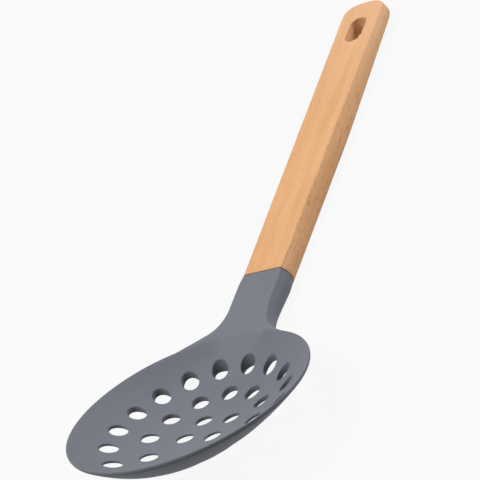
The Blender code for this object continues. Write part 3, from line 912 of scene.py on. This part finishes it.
def dress(piece, finish):
    """Give a finished mesh its one material and smooth shading."""
    piece.data.materials.clear()
    piece.data.materials.append(finish)
    piece.data.shade_smooth()
    piece.data.set_sharp_from_angle(angle=SHARP_ANGLE)


def hand_over(piece, node, joint_place):
    """Move a piece's mesh from the joint to its place, and let it stand for its CAD node."""
    piece.data.transform(Matrix.Translation(joint_place))
    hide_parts(node)
    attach(piece, "root")


def make_head(finish, joint_place):
    """The nylon moulding: bowl, neck, collar and tang, with its drain holes cut by Geometry Nodes."""
    rungs = [head_rung(*spot) for spot in head_outline()]
    head = mesh_object("nylon_head", symmetric_body([joint_rung(rungs[0], -GAP / 2), *rungs]))
    flat = tang_outline()
    tang = mesh_object("tang", loft([[(x, y, TANG_LEVEL + level) for x, y in flat]
                                     for level in (-TANG_THICKNESS / 2, TANG_THICKNESS / 2)]))
    combine(head, tang, "UNION")
    rim_frame = Matrix.Translation(place(0.0, 0.0, 0.0)) @ Matrix.Rotation(BOWL_TILT, 4, "Y")
    head.data.transform(rim_frame.inverted())
    group, identifiers = drain_hole_tree()
    for holes, start, centre, neck, flank, tip, lean in HOLE_RINGS:
        ring = head.modifiers.new("drain_holes", "NODES")
        ring.node_group = group
        reaches = [RIM_RADIUS * reach for reach in (centre, neck, flank, tip)]
        values = (holes, start, *reaches, lean, HOLE_RADIUS, HOLE_EASE, HOLE_SIDES, finish)
        for identifier, value in zip(identifiers, values):
            ring[identifier] = value
    settle(head)
    clean(head)
    head.data.transform(rim_frame)
    dress(head, finish)
    hand_over(head, "skimmer_head", joint_place)


def socket_corners(clearance):
    """Corners of the box that lies this far outside the tang, open at the joint."""
    low = (-TANG_ROOT, -TANG_WIDTH / 2 - clearance, TANG_LEVEL - TANG_THICKNESS / 2 - clearance)
    return low, (TANG_LENGTH + clearance, -low[1], TANG_LEVEL + TANG_THICKNESS / 2 + clearance)


def make_handle(finish, joint_place):
    """The beech handle, with the tang's socket and the hanging slot."""
    rungs = [handle_rung(*spot) for spot in handle_outline()]
    handle = mesh_object("beech_handle", symmetric_body([joint_rung(rungs[0], GAP / 2), *rungs]))
    combine(handle, mesh_object("tang_socket", block(*socket_corners(2.0 * GAP + GLUE_WALL))), "DIFFERENCE")
    combine(handle, mesh_object("hanging_slot", loft(slot_rings())), "DIFFERENCE")
    clean(handle)
    dress(handle, finish)
    hand_over(handle, "handle", joint_place)


def make_floor():
    """A wide plain floor under the skimmer."""
    floor = mesh_object("floor", level_square(FLOOR_SIZE, FLOOR_LEVEL))
    floor.data.materials.append(pale_floor())


def make_world():
    """Even soft light from all round, which the camera sees as white."""
    world = bpy.data.worlds.new("studio")
    bpy.context.scene.world = world
    world.use_nodes = True
    tree = Tree(world.node_tree)
    strength = tree.seen() * (1.0 - SKY_LIGHT) + SKY_LIGHT
    tree.fill(world.node_tree.nodes["Background"], {"Color": WHITE, "Strength": strength})


def make_lamp(name, spot, aim, size, power):
    """A square soft lamp."""
    data = bpy.data.lights.new(name, "AREA")
    data.size = size
    data.energy = power
    lamp = bpy.data.objects.new(name, data)
    lamp.location = spot
    lamp.rotation_euler = (Vector(aim) - Vector(spot)).to_track_quat("-Z", "Y").to_euler()
    bpy.context.scene.collection.objects.link(lamp)


def make_camera(joint_place):
    """The camera at the photograph's viewing angle."""
    data = bpy.data.cameras.new("camera")
    data.lens = CAMERA_LENS
    data.sensor_width = CAMERA_SENSOR
    data.clip_start = CAMERA_NEAR
    camera = bpy.data.objects.new("camera", data)
    aim = (CAMERA_AIM - CAMERA_PLACE).to_track_quat("-Z", "Y").to_matrix().to_4x4()
    camera.matrix_world = (Matrix.Translation(joint_place + CAMERA_PLACE) @ aim
                           @ Matrix.Rotation(CAMERA_ROLL, 4, "Z"))
    bpy.context.scene.collection.objects.link(camera)
    bpy.context.scene.camera = camera


def main():
    for leftover in list(bpy.data.objects):
        bpy.data.objects.remove(leftover)
    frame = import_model()
    low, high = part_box("handle")
    joint_place = Vector((low.x - GAP / 2, 0.0, high.z))

    make_head(nylon(), joint_place)
    make_handle(beech(joint_place), joint_place)
    glue = frame["nodes"]["tang_adhesive"]
    glue.data.materials.clear()
    glue.data.materials.append(cured_glue())

    make_floor()
    make_world()
    for lamp in LAMPS:
        make_lamp(*lamp)
    make_camera(joint_place)
    bpy.context.scene.view_settings.view_transform = "Standard"


main()
